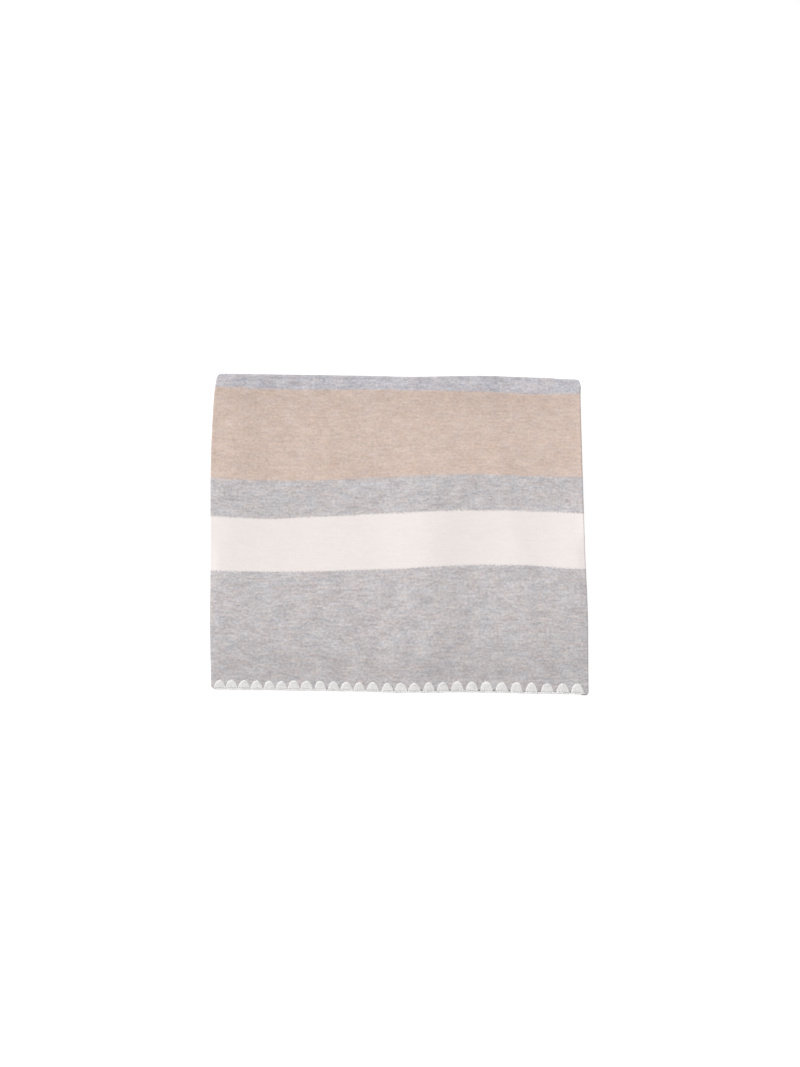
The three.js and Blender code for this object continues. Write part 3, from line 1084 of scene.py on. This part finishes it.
@dataclass
class HandEdging:
    """White edging of one trimmed end: fans of plied yarn, joined by a chain along the edge."""

    pile: Pile
    name: str
    layer: int
    inset: float
    seed: int
    fans: int = 27
    strands: int = 8
    depth: float = 6.9 * MM
    growth: float = 0.16
    top_width: float = 4.3 * MM
    base_width: float = 9.8 * MM
    yarn: float = 1.05 * MM
    turn_length: float = 4.6 * MM
    first: float = 8.8 * MM
    last: float = 10.1 * MM
    pitch_spread: float = 0.068
    place_slack: float = 0.35 * MM
    tip_rounding: float = 1.1 * MM
    heap: float = 0.2 * MM
    side_dip: float = 0.25 * MM
    hole_depth: float = 1.0 * MM
    chain_yarn: float = 0.55
    chain_spacing: float = 2.3 * MM
    chain_out: float = 1.15 * MM
    chain_up: float = 0.9 * MM

    @property
    def end(self) -> float:
        """Place of the cloth's trimmed end on the flat plan."""
        return -self.pile.depth / 2 + self.pile.end_inset

    @property
    def squeeze(self) -> float:
        """Share of the full width that the edging has on its layer."""
        return 1 - self.inset / (self.pile.width / 2)

    def fan_middles(self) -> np.ndarray:
        """Place the fans, closer at the left than at the right, with a hand's variation.

        Returns:
            The middles of the fans.
        """
        rng = np.random.default_rng(self.seed)
        reach = (self.pile.width - self.first - self.last) / 2
        middle = (self.first - self.last) / 2
        t = np.linspace(-1, 1, self.fans)
        places = middle + reach * (t + self.pitch_spread * (t * t - 1))
        return places + rng.normal(0, self.place_slack, self.fans)

    def strand_lines(self) -> list[np.ndarray]:
        """Lay the middle line of every strand.

        Returns:
            One array of points for each strand, from its hole over the edge and back under.
        """
        rng = np.random.default_rng(self.seed + 1)
        middle = float(self.pile.layer_height(self.layer, self.end))
        lines = []
        for centre in self.fan_middles():
            grown = 1 + self.growth * float(smooth(centre, -40 * MM, 60 * MM))
            fan = Fan(
                centre,
                self.depth * grown * rng.uniform(0.95, 1.05),
                self.base_width * grown**0.5 * rng.uniform(0.93, 1.05),
                self.top_width * grown * rng.uniform(0.85, 1.15),
            )
            for n in range(self.strands):
                line = self._strand(fan, 2 * n / (self.strands - 1) - 1, rng)
                step = np.clip(line[:, 1] - self.end, 0, None)
                line[:, 2] += middle + self.pile.end_bend(self.layer, step)
                line[:, 0] *= self.squeeze
                lines.append(self.pile.settle(line))
        return lines

    def _strand(self, fan: Fan, t: float, rng: np.random.Generator) -> np.ndarray:
        """Lay one strand on the flat plan, with z counted from the cloth's middle.

        Args:
            fan: The strand's fan.
            t: Place in the fan, from -1 at the left to 1 at the right.
            rng: Source of the hand's variation.

        Returns:
            The strand's points.
        """
        lift = self.pile.cloth / 2
        steps = np.linspace(0, 1, 9)
        spread = fan.narrow + (fan.wide - fan.narrow) * steps**0.75
        x = fan.centre + t * spread / 2 + rng.normal(0, 0.1 * MM)
        y = self.end + (fan.depth - self.tip_rounding * t * t) * (1 - steps)
        heap = self.heap * (1 - t * t) * (1 - smooth(steps, 0.1, 0.9)) - self.side_dip * t * t
        sink = self.hole_depth * (1 - smooth(steps, 0.0, 0.14))
        over = np.stack([x, y, lift + heap - sink], axis=1)
        angles = np.linspace(0, math.pi, 7)[1:-1]
        edge_x = x[-1] + 0.25 * MM * np.sin(angles)
        edge_y = self.end - 0.6 * lift * np.sin(angles)
        round_edge = np.stack([edge_x, edge_y, lift * np.cos(angles)], axis=1)
        under = over[::-1].copy()
        under[:, 2] = -(lift + 0.5 * heap - sink)[::-1]
        return np.concatenate([over, round_edge, under])

    def chain_line(self) -> np.ndarray:
        """Lay the line that the chain follows along the edge, from the first fan to the last.

        Returns:
            The line's points.
        """
        pile = self.pile
        middle = float(pile.layer_height(self.layer, self.end))
        middle += float(pile.end_bend(self.layer, 0.0))
        low = -pile.width / 2 + self.first - self.base_width / 2 + 0.8 * MM
        high = pile.width / 2 - self.last + self.base_width / 2 - 0.4 * MM
        x = np.linspace(low * self.squeeze, high * self.squeeze, 181)
        wave = 0.18 * MM * np.sin(x / (2.1 * MM) + self.seed) + 0.12 * MM * np.sin(x / (7 * MM))
        y = np.full_like(x, self.end - self.chain_out) + wave
        z = np.full_like(x, middle + self.chain_up)
        return pile.settle(np.stack([x, y, z], axis=1))

    def build(self, material: bpy.types.Material) -> bpy.types.Object:
        """Wind yarn round every line.

        Args:
            material: The yarn's material.

        Returns:
            The edging as one mesh object.
        """
        strands = YarnWinder("strand_winder", self.yarn, self.turn_length, material)
        fans = strands.wind(self.strand_lines(), self.name)
        thin = self.yarn * self.chain_yarn
        chain = ChainMaker("edge_chain", thin, self.chain_spacing, material, self.seed)
        links = chain.make(self.chain_line(), self.name + "_chain")
        return join(fans, [links])


def join(first: bpy.types.Object, others: list[bpy.types.Object]) -> bpy.types.Object:
    """Join mesh objects into the first one.

    Args:
        first: The object that stays.
        others: The objects that are taken into it.

    Returns:
        The first object.
    """
    with bpy.context.temp_override(
        active_object=first, object=first, selected_editable_objects=[first, *others]
    ):
        bpy.ops.object.join()
    return first


class NodeForm:
    """A Geometry Nodes tree that is applied to a mesh and leaves a plain mesh behind."""

    def __init__(self, name: str) -> None:
        """Start an empty tree with one geometry input and output.

        Args:
            name: Name of the tree.
        """
        self.tree = bpy.data.node_groups.new(name, "GeometryNodeTree")
        for way in ("INPUT", "OUTPUT"):
            self.tree.interface.new_socket("Geometry", in_out=way, socket_type="NodeSocketGeometry")
        self.input = self.tree.nodes.new("NodeGroupInput")
        self.output = self.tree.nodes.new("NodeGroupOutput")
        self.sizes: dict[str, tuple[str, object]] = {}

    def size(self, name: str, kind: str, value: object) -> bpy.types.NodeSocket:
        """Add a named input and return its socket inside the tree.

        Args:
            name: Name of the input.
            kind: Type of its socket.
            value: What apply() sets it to.

        Returns:
            The socket inside the tree.
        """
        socket = self.tree.interface.new_socket(name, in_out="INPUT", socket_type=kind)
        self.sizes[name] = (socket.identifier, value)
        return self.input.outputs[name]

    def node(
        self, kind: str, settings: dict | None = None, values: dict | None = None
    ) -> bpy.types.Node:
        """Add a node.

        Args:
            kind: The node's type.
            settings: The node's own properties.
            values: A socket to link or a value to set, by input name or place.

        Returns:
            The node.
        """
        made = self.tree.nodes.new(kind)
        for name, setting in (settings or {}).items():
            setattr(made, name, setting)
        for name, value in (values or {}).items():
            if isinstance(value, bpy.types.NodeSocket):
                self.tree.links.new(value, made.inputs[name])
            elif isinstance(value, bpy.types.Node):
                self.tree.links.new(value.outputs[0], made.inputs[name])
            else:
                made.inputs[name].default_value = value
        return made

    def maths(self, operation: str, *inputs: bpy.types.NodeSocket | float) -> bpy.types.Node:
        """Add a Math node with these inputs."""
        return self.node("ShaderNodeMath", {"operation": operation}, dict(enumerate(inputs)))

    def sweep(self, curve: bpy.types.Node, section: bpy.types.Node) -> bpy.types.Node:
        """Sweep a section along a curve, with closed ends and smooth shading.

        Args:
            curve: The node that gives the curve.
            section: The node that gives the section.

        Returns:
            The last node.
        """
        values = {"Curve": curve, "Profile Curve": section, "Fill Caps": True}
        swept = self.node("GeometryNodeCurveToMesh", values=values)
        return self.node("GeometryNodeSetShadeSmooth", values={0: swept})

    def end(self, geometry: bpy.types.Node, material: bpy.types.Material) -> None:
        """End the tree in Realize Instances and Set Material.

        Args:
            geometry: The last node that makes geometry.
            material: What the geometry is dressed in.
        """
        real = self.node("GeometryNodeRealizeInstances", values={"Geometry": geometry})
        dressed = self.node("GeometryNodeSetMaterial", values={"Geometry": real})
        dressed.inputs["Material"].default_value = material
        self.tree.links.new(dressed.outputs[0], self.output.inputs[0])

    def apply(self, mesh: bpy.types.Mesh, name: str) -> bpy.types.Object:
        """Run the tree on a mesh.

        Args:
            mesh: The mesh that the tree starts from.
            name: Name of the object that is made.

        Returns:
            An object with the finished plain mesh and no modifier.
        """
        holder = bpy.data.objects.new(name, mesh)
        bpy.context.scene.collection.objects.link(holder)
        modifier = holder.modifiers.new("form", "NODES")
        modifier.node_group = self.tree
        for identifier, value in self.sizes.values():
            modifier[identifier] = value
        graph = bpy.context.evaluated_depsgraph_get()
        plain = bpy.data.meshes.new_from_object(holder.evaluated_get(graph))
        holder.modifiers.remove(modifier)
        holder.data = plain
        plain.name = name
        return holder


def lines_mesh(lines: list[np.ndarray], name: str) -> bpy.types.Mesh:
    """Make a mesh of edges that follow the given lines.

    Args:
        lines: One array of points for each line.
        name: Name of the mesh.

    Returns:
        The mesh of edges.
    """
    points, edges = [], []
    for line in lines:
        start = len(points)
        points.extend(line.tolist())
        edges.extend((start + n, start + n + 1) for n in range(len(line) - 1))
    mesh = bpy.data.meshes.new(name)
    mesh.from_pydata(points, edges, [])
    return mesh


@dataclass
class YarnWinder:
    """Sweeps a plied section along lines, turning it as it goes."""

    name: str
    radius: float
    twist: float
    material: bpy.types.Material
    plies: int = 3
    lobe: float = 0.09
    points: int = 26

    def tree(self) -> NodeForm:
        """Build the tree that winds the yarn.

        Returns:
            The finished tree.
        """
        form = NodeForm(self.name)
        radius = form.size("Radius", "NodeSocketFloat", self.radius)
        twist = form.size("Length of a turn", "NodeSocketFloat", self.twist)
        points = form.size("Points", "NodeSocketInt", self.points)
        curve = form.node("GeometryNodeMeshToCurve", values={0: form.input.outputs[0]})
        spline = form.node(
            "GeometryNodeCurveSplineType", {"spline_type": "CATMULL_ROM"}, {0: curve}
        )
        fine = form.node("GeometryNodeResampleCurve", values={"Curve": spline, "Count": points})
        place = form.node("GeometryNodeSplineParameter")
        turns = form.maths("DIVIDE", place.outputs["Length"], twist)
        angle = form.maths("MULTIPLY", turns.outputs[0], 2 * math.pi)
        tilted = form.node("GeometryNodeSetCurveTilt", values={"Curve": fine, "Tilt": angle})
        form.end(form.sweep(tilted, self._section(form, radius)), self.material)
        return form

    def _section(self, form: NodeForm, radius: bpy.types.NodeSocket) -> bpy.types.Node:
        """Make the section: a circle with a lobe for each ply.

        Args:
            form: The tree.
            radius: The input that holds the yarn's radius.

        Returns:
            The node that gives the section.
        """
        ring = form.node(
            "GeometryNodeCurvePrimitiveCircle",
            values={"Resolution": 4 * self.plies, "Radius": radius},
        )
        turn = form.node("GeometryNodeSplineParameter")
        wave = form.maths("MULTIPLY", turn.outputs["Factor"], 2 * math.pi * self.plies)
        lobes = form.maths("COSINE", wave.outputs[0])
        grow = form.maths("MULTIPLY_ADD", lobes.outputs[0], self.lobe, 1.0)
        where = form.node("GeometryNodeInputPosition")
        scaled = form.node(
            "ShaderNodeVectorMath",
            {"operation": "SCALE"},
            {0: where.outputs[0], "Scale": grow.outputs[0]},
        )
        return form.node("GeometryNodeSetPosition", values={"Geometry": ring, "Position": scaled})

    def wind(self, lines: list[np.ndarray], name: str) -> bpy.types.Object:
        """Wind yarn along the lines and return it as one mesh object."""
        return self.tree().apply(lines_mesh(lines, name), name)


@dataclass
class ChainMaker:
    """Sets slanting links of yarn along a line, as a chain stitch shows them."""

    name: str
    radius: float
    spacing: float
    material: bpy.types.Material
    seed: int
    sway: float = 0.12
    slant: float = 0.9 * MM
    tip_back: float = 0.3 * MM
    belly: float = 0.7 * MM

    def tree(self) -> NodeForm:
        """Build the tree that sets the links.

        Returns:
            The finished tree.
        """
        form = NodeForm(self.name)
        radius = form.size("Radius", "NodeSocketFloat", self.radius)
        spacing = form.size("Spacing", "NodeSocketFloat", self.spacing)
        seed = form.size("Seed", "NodeSocketInt", self.seed)
        curve = form.node("GeometryNodeMeshToCurve", values={0: form.input.outputs[0]})
        placed = form.node(
            "GeometryNodeCurveToPoints", {"mode": "LENGTH"}, {"Curve": curve, "Length": spacing}
        )
        link = self._link(form, radius, spacing)
        sway = form.node(
            "FunctionNodeRandomValue",
            {"data_type": "FLOAT_VECTOR"},
            {0: (-self.sway,) * 3, 1: (self.sway,) * 3, "Seed": seed},
        )
        grow = form.node(
            "FunctionNodeRandomValue", {"data_type": "FLOAT"}, {2: 0.92, 3: 1.1, "Seed": seed}
        )
        set_links = form.node(
            "GeometryNodeInstanceOnPoints",
            values={
                "Points": placed,
                "Instance": link,
                "Rotation": sway.outputs[0],
                "Scale": grow.outputs[1],
            },
        )
        form.end(set_links, self.material)
        return form

    def _link(
        self, form: NodeForm, radius: bpy.types.NodeSocket, spacing: bpy.types.NodeSocket
    ) -> bpy.types.Node:
        """Make one link: a short round strand that slants across the edge.

        Args:
            form: The tree.
            radius: The input that holds the yarn's radius.
            spacing: The input that holds how far the links stand apart.

        Returns:
            The node that gives the link.
        """
        reach = form.maths("MULTIPLY", spacing, 0.95)
        start = form.node("ShaderNodeCombineXYZ", values={0: reach.outputs[0]})
        back = form.node("ShaderNodeVectorMath", {"operation": "SCALE"}, {0: start, "Scale": -1.0})
        ends = []
        for tip, rise in ((back, -self.slant), (start, self.slant)):
            values = {0: tip, 1: (0.0, self.tip_back, rise)}
            ends.append(form.node("ShaderNodeVectorMath", {"operation": "ADD"}, values))
        arc = form.node(
            "GeometryNodeCurveQuadraticBezier",
            values={
                "Resolution": 6,
                "Start": ends[0],
                "Middle": (0.0, -self.belly, 0.0),
                "End": ends[1],
            },
        )
        ring = form.node(
            "GeometryNodeCurvePrimitiveCircle", values={"Resolution": 8, "Radius": radius}
        )
        return form.sweep(arc, ring)

    def make(self, line: np.ndarray, name: str) -> bpy.types.Object:
        """Set links along the line and return them as one mesh object."""
        return self.tree().apply(lines_mesh([line], name), name)


# ------------------------------------------------------------ table, light, view


@dataclass
class Setting:
    """The plain table, the soft daylight and the camera straight above."""

    finish: PaleFloor = PaleFloor()
    floor_size: float = 6.0
    floor_drop: float = 0.05 * MM
    sky: float = 0.52
    sun: float = 2.5
    sun_angle: float = math.radians(50)
    sun_height: float = math.radians(36)
    sun_side: float = math.radians(38)
    view_depth: float = 1.019
    view_middle: tuple[float, float] = (0.4 * MM, 1.1 * MM)
    lens: float = 80.0
    sensor: float = 36.0

    def floor(self) -> bpy.types.Object:
        """Lay the table top under the pile.

        Returns:
            The table top's object.
        """
        half = self.floor_size / 2
        corners = ((-half, -half), (half, -half), (half, half), (-half, half))
        mesh = bpy.data.meshes.new("table_top")
        mesh.from_pydata([(x, y, -self.floor_drop) for x, y in corners], [], [(0, 1, 2, 3)])
        mesh.materials.append(self.finish.material())
        table = bpy.data.objects.new("table_top", mesh)
        bpy.context.scene.collection.objects.link(table)
        table.visible_diffuse = False
        return table

    def light(self) -> None:
        """Light the pile softly, most of it from the back left, before a white backdrop."""
        world = bpy.data.worlds.new("daylight")
        world.use_nodes = True
        nodes, links = world.node_tree.nodes, world.node_tree.links
        path = nodes.new("ShaderNodeLightPath")
        backdrop = nodes.new("ShaderNodeMix")
        backdrop.data_type = "RGBA"
        backdrop.inputs[6].default_value = (self.sky, self.sky, self.sky, 1.0)
        backdrop.inputs[7].default_value = WHITE
        links.new(path.outputs["Is Camera Ray"], backdrop.inputs[0])
        links.new(backdrop.outputs[2], nodes["Background"].inputs["Color"])
        nodes["Background"].inputs["Strength"].default_value = 1.0
        bpy.context.scene.world = world
        lamp = bpy.data.lights.new("window", "SUN")
        lamp.energy = self.sun
        lamp.angle = self.sun_angle
        window = bpy.data.objects.new("window", lamp)
        flat = math.cos(self.sun_height)
        left, back = math.sin(self.sun_side) * flat, math.cos(self.sun_side) * flat
        towards = Vector((-left, back, math.sin(self.sun_height)))
        window.rotation_euler = towards.to_track_quat("Z", "Y").to_euler()
        bpy.context.scene.collection.objects.link(window)

    def camera(self) -> None:
        """Look straight down, with the pile in the middle of the picture."""
        data = bpy.data.cameras.new("camera")
        data.lens = self.lens
        data.sensor_width = self.sensor
        distance = self.view_depth * self.lens / self.sensor
        eye = bpy.data.objects.new("camera", data)
        eye.location = (*self.view_middle, distance + CAD_HIGH.z)
        bpy.context.scene.collection.objects.link(eye)
        bpy.context.scene.camera = eye
        bpy.context.scene.view_settings.view_transform = "Standard"


def report(piece: bpy.types.Object) -> None:
    """Log a piece's name and its number of faces."""
    log.info("%s: %d faces", piece.name, len(piece.data.polygons))


def main() -> None:
    """Build the scarf's pieces in order and tell the frame what each of them is."""
    logging.basicConfig(level=logging.INFO, format="%(name)s %(message)s")
    setting = Setting()
    setting.camera()
    setting.light()
    table = setting.floor()

    pile = Pile()
    scarf = ScarfCloth(pile, MilledKnit())
    cloth = scarf.build()
    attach(cloth, "root")
    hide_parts("end_panel", "folded_layers", "under_panel")
    report(cloth)

    yarn = PliedYarn().material()
    for name, node, layer, inset, seed in (
        ("end_edging_yarn", "end_edging", 1, 0.0, 5),
        ("under_edging_yarn", "under_edging", pile.layers, 3 * MM, 9),
    ):
        edging = HandEdging(pile, name, layer, inset, seed).build(yarn)
        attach(edging, "root")
        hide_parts(node)
        report(edging)
    log.info("the cloth is %.3f m long", scarf.length())
    scarf.length()


if __name__ == "__main__":
    main()
